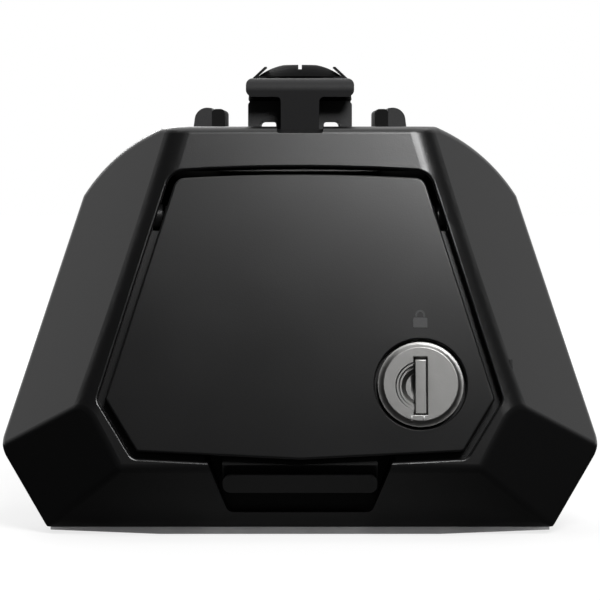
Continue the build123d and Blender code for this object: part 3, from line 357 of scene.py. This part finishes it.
def next_ring(shape, edges, rule):
    """Carries a ring of edges on to where the rule sets each point, going by its angle."""
    made = bmesh.ops.extrude_edge_only(shape, edges=edges)["geom"]
    set_ring([part for part in made if isinstance(part, bmesh.types.BMVert)], rule)
    return [part for part in made if isinstance(part, bmesh.types.BMEdge)]


def set_ring(verts, rule):
    """Sets each point of a ring by its angle round the ring's middle."""
    middle = sum((vert.co for vert in verts), Vector()) / len(verts)
    for vert in verts:
        vert.co = rule(math.atan2(vert.co.y - middle.y, vert.co.x - middle.x))


def lobed_ring(radius, height, lobes=0.0):
    """Rule for a circle, or for the outline of a six-lobed recess."""
    def rule(angle):
        reach = radius * (1 + lobes * math.cos(6 * angle))
        return Vector((reach * math.cos(angle), reach * math.sin(angle), height))
    return rule


def lobed_screw(shape, place, profile, segments=48):
    """A screw whose profile runs from the recess's floor over the head and down the shank."""
    ring = bmesh.ops.create_circle(shape, cap_ends=True, segments=segments, radius=1.0)["verts"]
    made = set(ring)
    edges = [edge for edge in shape.edges if edge.is_boundary and set(edge.verts) <= made]
    set_ring(ring, lobed_ring(*profile[0]))
    for row in profile[1:]:
        edges = next_ring(shape, edges, lobed_ring(*row))
        made.update(vert for edge in edges for vert in edge.verts)
    bmesh.ops.edgeloop_fill(shape, edges=edges)
    bmesh.ops.transform(shape, matrix=place, verts=list(made))


def is_upright(edge):
    """Whether an edge runs along Z."""
    line = edge.verts[0].co - edge.verts[1].co
    return abs(line.z) > 0.9 * line.length


def lifted(shape, faces, distance):
    """Carries faces on along Y, and gives the faces at the new end."""
    made = bmesh.ops.extrude_face_region(shape, geom=faces)["geom"]
    bmesh.ops.translate(
        shape, vec=(0, distance, 0), verts=[part for part in made if isinstance(part, bmesh.types.BMVert)]
    )
    return [part for part in made if isinstance(part, bmesh.types.BMFace)]


def place_on(surface, point, out, up):
    """Matrix that sets a flat detail on a solid, where a line along -out through the point meets it."""
    hit, spot, normal, _ = nodes[surface].ray_cast(point + out * 5 * MM, -out)
    if not hit:
        raise RuntimeError(f"nothing of {surface} lies behind {tuple(point)}")
    across = up.cross(normal).normalized()
    axes = Matrix((across, normal.cross(across), normal)).transposed()
    return Matrix.Translation(spot) @ axes.to_4x4()


class ROOFFOOT_OT_cover(bpy.types.Operator):
    """Finish the cover and the door in grained black plastic"""

    bl_idname = "roof_foot.cover"
    bl_label = "Cover and door"

    def execute(self, context):
        look = finishes()
        plastic = moulded_plastic(
            "cover_plastic", look.cover_colour, look.cover_roughness, look.grain_size, look.grain_depth
        )
        dress(plastic, "cover_shell", "door_panel")
        return {"FINISHED"}


class ROOFFOOT_OT_sign(bpy.types.Operator):
    """Set the raised padlock sign on the door, above the lock"""

    bl_idname = "roof_foot.sign"
    bl_label = "Padlock sign"

    def execute(self, context):
        look, sizes = finishes(), details()
        shape = bmesh.new()
        bmesh.ops.create_cube(
            shape, size=1.0,
            matrix=Matrix.Diagonal((sizes.sign_width, sizes.sign_height, 2 * sizes.sign_relief, 1)),
        )
        rounded(shape, [edge for edge in shape.edges if is_upright(edge)], sizes.sign_width / 10, 3)
        rise = sizes.sign_height / 2 + sizes.sign_stroke / 2
        foot = bmesh.ops.create_grid(
            shape, x_segments=1, y_segments=1, size=0.5,
            matrix=Matrix.Translation((sizes.sign_bow, rise, 0)) @ Matrix.Rotation(math.pi / 2, 4, "X")
            @ Matrix.Diagonal((sizes.sign_stroke, 2 * sizes.sign_relief, 1, 1)),
        )["verts"]
        leg = [face for face in shape.faces if set(face.verts) <= set(foot)]
        leg = lifted(shape, leg, sizes.sign_bow / 2)
        turned = bmesh.ops.spin(
            shape, geom=leg, cent=(0, rise + sizes.sign_bow / 2, 0), axis=(0, 0, 1), angle=math.pi, steps=14,
            dvec=(0, 0, 0), use_merge=False,
        )["geom_last"]
        lifted(shape, [part for part in turned if isinstance(part, bmesh.types.BMFace)], -sizes.sign_bow / 2)
        inside = [face for face in shape.faces if all(len(edge.link_faces) > 2 for edge in face.edges)]
        bmesh.ops.delete(shape, geom=inside, context="FACES_ONLY")
        spot = lock_middle + lock_up * sizes.sign_place
        shape.transform(place_on("door_panel", spot, lock_out, lock_up))
        grain = look.grain_size / 2, look.grain_depth / 6
        ink = moulded_plastic("sign_plastic", look.sign_colour, 0.45, *grain)
        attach(finished_piece(shape, "padlock_sign", ink), "door")
        return {"FINISHED"}


class ROOFFOOT_OT_mouldings(bpy.types.Operator):
    """Finish the rear moulding and the bar seat in smoother black plastic"""

    bl_idname = "roof_foot.mouldings"
    bl_label = "Rear moulding and seat"

    def execute(self, context):
        look = finishes()
        grain = look.grain_size, look.grain_depth / 2
        dress(moulded_plastic("body_plastic", look.body_colour, 0.42, *grain), "body_moulding")
        dress(moulded_plastic("seat_plastic", look.seat_colour, 0.50, *grain), "bar_seat")
        return {"FINISHED"}


class ROOFFOOT_OT_lock(bpy.types.Operator):
    """Round the lock's rim, steps and shutter, finish them in satin nickel and add the face's two ticks"""

    bl_idname = "roof_foot.lock"
    bl_label = "Lock"

    def execute(self, context):
        look = finishes()
        pale = [1.3 * part for part in look.nickel_colour]
        nickel = bare_metal("lock_metal", look.nickel_colour, 0.40, 0.5 * MM, 0.012 * MM)
        self.face_ticks(bare_metal("tick_metal", pale, 0.45, 0.5 * MM, 0.006 * MM))
        self.plug(nickel)
        self.shutter(nickel)
        return {"FINISHED"}

    def face_ticks(self, pale_nickel):
        """Two short raised ticks on the lock's face, below the keyway."""
        sizes = details()
        shape = bmesh.new()
        for across in (sizes.tick_left, sizes.tick_right):
            spot = lock_middle + lock_across * across - lock_up * sizes.tick_place
            size = Matrix.Diagonal((sizes.tick_width, sizes.tick_length, sizes.sign_relief, 1))
            place = place_on("lock_core", spot, lock_out, lock_up)
            bmesh.ops.create_cube(shape, size=1.0, matrix=place @ size)
        rounded(shape, shape.edges[:], sizes.tick_width / 12, 2)
        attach(finished_piece(shape, "lock_ticks", pale_nickel), "lock")

    def plug(self, nickel):
        """The plug with a flatter, rounded rim and rounded steps beside the keyway."""
        sizes = details()
        places = [in_lock(vert.co) for vert in nodes["lock_core"].data.vertices]
        face_radius = max(radius for radius, out in places)
        face_out = max(out for radius, out in places)
        rim_out = max(out for radius, out in places if radius > 0.99 * face_radius)

        def is_rim(point):
            radius, out = in_lock(point)
            return radius > 0.8 * face_radius and out > face_out - sizes.rim_fall / 2

        def is_step(point):
            radius, out = in_lock(point)
            beside = (point - lock_middle).dot(lock_across)
            return radius < 0.8 * face_radius and -face_radius / 5 < out and beside < sizes.keyway_side

        shape = merged_copy("lock_core")
        for vert in shape.verts:
            radius, out = in_lock(vert.co)
            if radius > 0.99 * face_radius and out > rim_out - 0.1 * MM:
                vert.co += lock_out * (face_out - sizes.rim_fall - out)
        rounded(shape, sharp_edges(shape, is_rim, math.radians(8)), sizes.rim_rounding, 3)
        rounded(shape, sharp_edges(shape, is_step), sizes.step_rounding, 2)
        plug = finished_piece(shape, "lock_plug", nickel)
        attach(plug, "lock")
        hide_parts("lock_core")

    def shutter(self, nickel):
        """The keyway's dust shutter with a rounded front."""
        sizes = details()

        def is_front(point):
            return in_lock(point)[1] > -0.5 * MM

        shape = merged_copy("lock_shutter")
        rounded(shape, sharp_edges(shape, is_front), sizes.shutter_rounding, 3)
        shutter = finished_piece(shape, "dust_shutter", nickel)
        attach(shutter, "lock")
        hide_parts("lock_shutter")


class ROOFFOOT_OT_tee(bpy.types.Operator):
    """Finish the tee plate, its bolt and its spring clip in black coated steel"""

    bl_idname = "roof_foot.tee"
    bl_label = "Tee"

    def execute(self, context):
        look = finishes()
        coat = coated_metal("black_steel", look.steel_colour, 0.55, 0.9 * MM, 0.006 * MM, gloss=0.2)
        dress(coat, "tee_plate", "tee_spring_clip")
        blackened = coated_metal("black_bolt", look.bolt_colour, 0.75, 0.5 * MM, 0.008 * MM, gloss=0.03)
        dress(blackened, "tee_bolt")
        return {"FINISHED"}


class ROOFFOOT_OT_cushion(bpy.types.Operator):
    """Fill the space between the tee plate and the seat with a soft cushion that reaches up to the plate's
    underside
    """

    bl_idname = "roof_foot.cushion"
    bl_label = "Tee cushion"

    def execute(self, context):
        look, sizes = finishes(), details()
        seat_low, seat_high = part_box("bar_seat")
        bolt_low, bolt_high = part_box("tee_bolt")
        screw_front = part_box("seat_screws")[0][1]
        start = Vector((seat_high[0] / 2, seat_low[1] + 2 * MM, seat_high[2]))
        hit, under, _, _ = nodes["tee_plate"].ray_cast(start, Vector((0, 0, 1)))
        if not hit:
            raise RuntimeError("the tee plate isn't above the seat")
        edge, hole = sizes.cushion_edge, sizes.cushion_hole
        low, high = seat_high[2], under.z
        front, back = seat_low[1] + edge, screw_front - edge
        middle = Vector((0, (front + back) / 2, 0))
        bolt = Vector((0, (bolt_low[1] + bolt_high[1]) / 2, 0))
        half = Vector((seat_high[0], (back - front) / 2))
        squareness = 7

        def outer(inset, height):
            def rule(angle):
                wide, deep = half.x - inset, half.y - inset
                parts = abs(math.cos(angle) / wide), abs(math.sin(angle) / deep)
                reach = sum(part ** squareness for part in parts) ** (-1 / squareness)
                return middle + Vector((reach * math.cos(angle), reach * math.sin(angle), height))
            return rule

        def inner(height):
            return lambda angle: bolt + Vector((hole * math.cos(angle), hole * math.sin(angle), height))

        shape = bmesh.new()
        ring = bmesh.ops.create_circle(shape, segments=64, radius=1.0)["verts"]
        first = shape.edges[:]
        set_ring(ring, inner(low))
        edges = first
        thick = high - low
        for rule in (
            outer(edge / 2, low), outer(0, low + thick / 6), outer(edge / 4, low + thick / 2),
            outer(0, high - thick / 6), outer(edge / 2, high), inner(high),
        ):
            edges = next_ring(shape, edges, rule)
        bmesh.ops.bridge_loops(shape, edges=first + edges)
        rubber = soft_rubber("cushion_rubber", look.rubber_colour, 0.85)
        cushion = finished_piece(shape, "tee_cushion", rubber)
        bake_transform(cushion)
        return {"FINISHED"}


class ROOFFOOT_OT_castings(bpy.types.Operator):
    """Finish the frame and the sliding jaw in powder coat"""

    bl_idname = "roof_foot.castings"
    bl_label = "Castings"

    def execute(self, context):
        look = finishes()
        coat = coated_metal("frame_metal", look.casting_colour, 0.5, 0.6 * MM, 0.02 * MM)
        dress(coat, "base_frame", "inner_jaw")
        return {"FINISHED"}


class ROOFFOOT_OT_screws(bpy.types.Operator):
    """Finish the bolts, nuts and washers in zinc, the pins in black, and add recesses and a thread"""

    bl_idname = "roof_foot.screws"
    bl_label = "Bolts and screws"

    def execute(self, context):
        look = finishes()
        zinc = bare_metal("plated_steel", look.zinc_colour, 0.34, 0.4 * MM, 0.004 * MM)
        blackened = coated_metal("black_pins", look.bolt_colour, 0.6, 0.5 * MM, 0.004 * MM, gloss=0.1)
        dress(blackened, "hinge_pins")
        dress(
            zinc,
            "lock_sleeve", "lock_clip", "lock_cam", "cam_screw", "tee_washer",
             "tee_nut", "thrust_washer", "clamp_bolt", "bolt_ring", "jaw_nut",
        )
        self.recessed_screws(zinc)
        self.bolt_thread(zinc)
        return {"FINISHED"}

    def recessed_screws(self, zinc):
        """Screws with a six-lobed recess, in place of the plain ones."""
        sizes = details()
        recess = [
            (0.6 * sizes.recess_radius, -sizes.recess_depth, 0.16),
            (0.94 * sizes.recess_radius, -sizes.recess_depth, 0.16),
            (0.94 * sizes.recess_radius, -0.12 * MM, 0.16),
            (sizes.recess_radius, 0.0, 0.16),
        ]
        shape = bmesh.new()
        for low, high in loose_solids("cover_screws"):
            head = (high.x - low.x) / 2
            shank = 0.44 * head
            end = low.y - high.y
            place = Matrix.Translation(((low.x + high.x) / 2, high.y, (low.z + high.z) / 2))
            lobed_screw(shape, place @ Matrix.Rotation(-math.pi / 2, 4, "X"), recess + [
                (0.62 * head, 0.0), (0.82 * head, -0.22 * MM), (0.95 * head, -0.72 * MM), (head, -1.4 * MM),
                (head, -2.4 * MM), (shank, -2.4 * MM), (shank, end + shank), (0.3 * shank, end),
            ])
        screws = finished_piece(shape, "moulding_screws", zinc)
        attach(screws, "foot")
        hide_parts("cover_screws")

        shape = bmesh.new()
        for low, high in loose_solids("seat_screws"):
            head = (high.x - low.x) / 2
            rim = 0.06 * MM
            end = low.z - high.z
            place = Matrix.Translation(((low.x + high.x) / 2, (low.y + high.y) / 2, high.z))
            lobed_screw(shape, place, recess + [
                (0.94 * head, 0.0), (head, -rim), (head / 2, -rim - head / 2),
                (head / 2, end + head / 2), (0.15 * head, end),
            ])
        screws = finished_piece(shape, "countersunk_screws", zinc)
        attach(screws, "foot")
        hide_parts("seat_screws")

    def bolt_thread(self, zinc):
        """The clamp bolt's thread, a ridge that winds along its shank."""
        sizes = details()
        low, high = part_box("clamp_bolt")
        axis_z = (low[2] + high[2]) / 2
        shank = 4.0 * MM
        start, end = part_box("inner_jaw")[0][1], high[1] - 1.6 * MM
        steps_a_turn = 28
        steps = round((end - start) / sizes.thread_pitch * steps_a_turn)
        shape = bmesh.new()
        foot = 0.42 * sizes.thread_pitch
        crest = 0.12 * foot
        sunk = -0.1 * MM
        corners = [(-foot, sunk), (foot, sunk), (crest, sizes.thread_rise), (-crest, sizes.thread_rise)]
        ridge = [shape.verts.new((0, start + along, axis_z + shank + rise)) for along, rise in corners]
        bmesh.ops.spin(
            shape, geom=[shape.faces.new(ridge)], cent=(0, 0, axis_z), axis=(0, 1, 0),
            angle=math.tau * steps / steps_a_turn, steps=steps,
            dvec=(0, sizes.thread_pitch / steps_a_turn, 0), use_merge=False,
        )
        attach(finished_piece(shape, "clamp_thread", zinc), "clamp")


class ROOFFOOT_OT_rubber(bpy.types.Operator):
    """Finish the pads, the buffers and the sole in rubber; the sole's pale colour is partly painted highlight
    """

    bl_idname = "roof_foot.rubber"
    bl_label = "Rubber"

    def execute(self, context):
        look = finishes()
        dress(
            soft_rubber("black_rubber", look.rubber_colour, 0.7),
            "rail_pad", "outer_jaw_pad", "inner_jaw_pad", "bar_buffers",
        )
        # Pale sole rubber: its colour partly stands in for the light on the sole's top, a painted highlight.
        dress(soft_rubber("sole_rubber", look.sole_colour_painted_highlight, 0.6), "sole_trim")
        return {"FINISHED"}


def softbox(name, place, aim, width, height, power):
    """A rectangular lamp that looks at a point."""
    lamp = bpy.data.lights.new(name, "AREA")
    lamp.shape = "RECTANGLE"
    lamp.size, lamp.size_y, lamp.energy = width, height, power
    made = bpy.data.objects.new(name, lamp)
    bpy.context.scene.collection.objects.link(made)
    made.location = place
    made.rotation_euler = (Vector(aim) - Vector(place)).to_track_quat("-Z", "Y").to_euler()


def calculated(tree, operation, *values):
    """The outcome of a Math node on linked values."""
    made = add_node(tree, "ShaderNodeMath", operation=operation)
    for socket, value in zip(made.inputs, values):
        tree.links.new(value, socket)
    return made.outputs["Value"]


def behind(tree, start, end):
    """0 in front of the foot and 1 behind it, where the white backdrop is."""
    place = add_node(tree, "ShaderNodeTexCoord")
    parts = add_node(tree, "ShaderNodeSeparateXYZ")
    rise = add_node(
        tree, "ShaderNodeMapRange", {"From Min": start, "From Max": end}, interpolation_type="SMOOTHSTEP"
    )
    tree.links.new(place.outputs["Object"], parts.inputs["Vector"])
    tree.links.new(parts.outputs["Y"], rise.inputs["Value"])
    return rise.outputs["Result"]


def far_off(tree, start, end, near):
    """A value that rises from near to 1 with the distance from the foot."""
    place = add_node(tree, "ShaderNodeTexCoord")
    away = add_node(tree, "ShaderNodeVectorMath", operation="LENGTH")
    rise = add_node(
        tree, "ShaderNodeMapRange", {"From Min": start, "From Max": end, "To Min": near},
        interpolation_type="SMOOTHSTEP",
    )
    tree.links.new(place.outputs["Object"], away.inputs[0])
    tree.links.new(away.outputs["Value"], rise.inputs["Value"])
    return rise.outputs["Result"]


def seen_directly(tree, backdrop):
    """1 where the camera sees a surface, and where gloss and glass show the white backdrop."""
    path = add_node(tree, "ShaderNodeLightPath")
    mirrored = calculated(
        tree, "MAXIMUM", path.outputs["Is Glossy Ray"], path.outputs["Is Transmission Ray"]
    )
    return calculated(
        tree, "MAXIMUM", path.outputs["Is Camera Ray"], calculated(tree, "MULTIPLY", mirrored, backdrop)
    )


class ROOFFOOT_OT_stage(bpy.types.Operator):
    """Set the floor, the backdrop, the lamps and the camera"""

    bl_idname = "roof_foot.stage"
    bl_label = "Stage"

    def execute(self, context):
        scene = context.scene
        look = scene.roof_foot_stage
        aim = Vector((0, 0, look.target_height))
        self.set_floor(scene, look)
        self.set_surround(scene, look)
        softbox("key", (0.21, -0.60, 0.63), aim, 0.30, 0.30, 6.6)
        softbox("top", (0.0, 0.10, 0.90), aim, 1.0, 1.0, 5)
        softbox("back", (-0.25, 0.65, 0.50), aim, 0.4, 0.3, 3)
        self.set_camera(scene, look, aim)
        scene.view_settings.view_transform = "Standard"
        return {"FINISHED"}

    def set_floor(self, scene, look):
        """A floor that is white to the camera, keeps the shadow and gives a little light back."""
        shape = bmesh.new()
        bmesh.ops.create_grid(shape, x_segments=1, y_segments=1, size=look.floor_reach)
        mesh = bpy.data.meshes.new("floor")
        shape.to_mesh(mesh)
        shape.free()
        floor = bpy.data.objects.new("floor", mesh)
        scene.collection.objects.link(floor)
        material, tree, shader = new_material("floor")
        shader.inputs["Roughness"].default_value = 1.0
        shader.inputs["Specular IOR Level"].default_value = 0.0
        shader.inputs["Emission Color"].default_value = (1, 1, 1, 1)
        seen = seen_directly(tree, behind(tree, 0.1, 0.5))
        given = add_node(tree, "ShaderNodeMix", data_type="RGBA")
        given.inputs["A"].default_value = (*look.floor_colour, 1)
        given.inputs["B"].default_value = (*[part / 10 for part in look.floor_colour], 1)
        tree.links.new(far_off(tree, look.floor_edge / 3, look.floor_edge, 0.0), given.inputs["Factor"])
        paint = add_node(tree, "ShaderNodeMix", data_type="RGBA")
        tree.links.new(given.outputs["Result"], paint.inputs["A"])
        paint.inputs["B"].default_value = (*[1 - look.floor_lift] * 3, 1)
        tree.links.new(seen, paint.inputs["Factor"])
        tree.links.new(paint.outputs["Result"], shader.inputs["Base Color"])
        lift = calculated(tree, "MULTIPLY", seen, far_off(tree, 0.12, 0.6, look.floor_lift))
        tree.links.new(lift, shader.inputs["Emission Strength"])
        mesh.materials.append(material)

    def set_surround(self, scene, look):
        """A dim surround that the camera sees as white."""
        world = bpy.data.worlds.new("studio")
        world.use_nodes = True
        scene.world = world
        tree = world.node_tree
        ground = tree.nodes["Background"]
        ground.inputs["Color"].default_value = (*look.surround, 1)
        white = add_node(tree, "ShaderNodeBackground", {"Color": (1, 1, 1, 1), "Strength": 1.0})
        either = add_node(tree, "ShaderNodeMixShader")
        tree.links.new(seen_directly(tree, behind(tree, -0.1, 0.5)), either.inputs["Fac"])
        tree.links.new(ground.outputs["Background"], either.inputs[1])
        tree.links.new(white.outputs["Background"], either.inputs[2])
        tree.links.new(either.outputs["Shader"], tree.nodes["World Output"].inputs["Surface"])

    def set_camera(self, scene, look, aim):
        """The photograph's view."""
        camera = bpy.data.cameras.new("camera")
        camera.lens = look.lens
        camera.sensor_width = 36
        viewer = bpy.data.objects.new("camera", camera)
        scene.collection.objects.link(viewer)
        back = Vector((0, -math.cos(look.elevation), math.sin(look.elevation)))
        viewer.location = aim + back * look.distance
        viewer.rotation_euler = (-back).to_track_quat("-Z", "Y").to_euler()
        scene.camera = viewer


groups = {
    "roof_foot_finish": FinishSettings,
    "roof_foot_detail": DetailSettings,
    "roof_foot_stage": StageSettings,
}
operators = (
    ROOFFOOT_OT_cover,
    ROOFFOOT_OT_sign,
    ROOFFOOT_OT_mouldings,
    ROOFFOOT_OT_lock,
    ROOFFOOT_OT_tee,
    ROOFFOOT_OT_cushion,
    ROOFFOOT_OT_castings,
    ROOFFOOT_OT_screws,
    ROOFFOOT_OT_rubber,
    ROOFFOOT_OT_stage,
)


class ROOFFOOT_PT_panel(bpy.types.Panel):
    """Lists the foot's operators and settings"""

    bl_idname = "ROOFFOOT_PT_panel"
    bl_label = "Roof bar foot"
    bl_space_type = "VIEW_3D"
    bl_region_type = "UI"
    bl_category = "Roof bar foot"

    def draw(self, context):
        for operator in operators:
            self.layout.operator(operator.bl_idname)
        for group in groups:
            settings = getattr(context.scene, group)
            box = self.layout.box()
            for name in settings.__annotations__:
                box.prop(settings, name)


def register():
    for group, kind in groups.items():
        bpy.utils.register_class(kind)
        setattr(bpy.types.Scene, group, PointerProperty(type=kind))
    for kind in (*operators, ROOFFOOT_PT_panel):
        bpy.utils.register_class(kind)


def unregister():
    for kind in (ROOFFOOT_PT_panel, *reversed(operators)):
        bpy.utils.unregister_class(kind)
    for group, kind in groups.items():
        delattr(bpy.types.Scene, group)
        bpy.utils.unregister_class(kind)


def main():
    register()
    for operator in operators:
        call = getattr(bpy.ops.roof_foot, operator.bl_idname.split(".")[1])
        call()


if __name__ == "__main__":
    main()
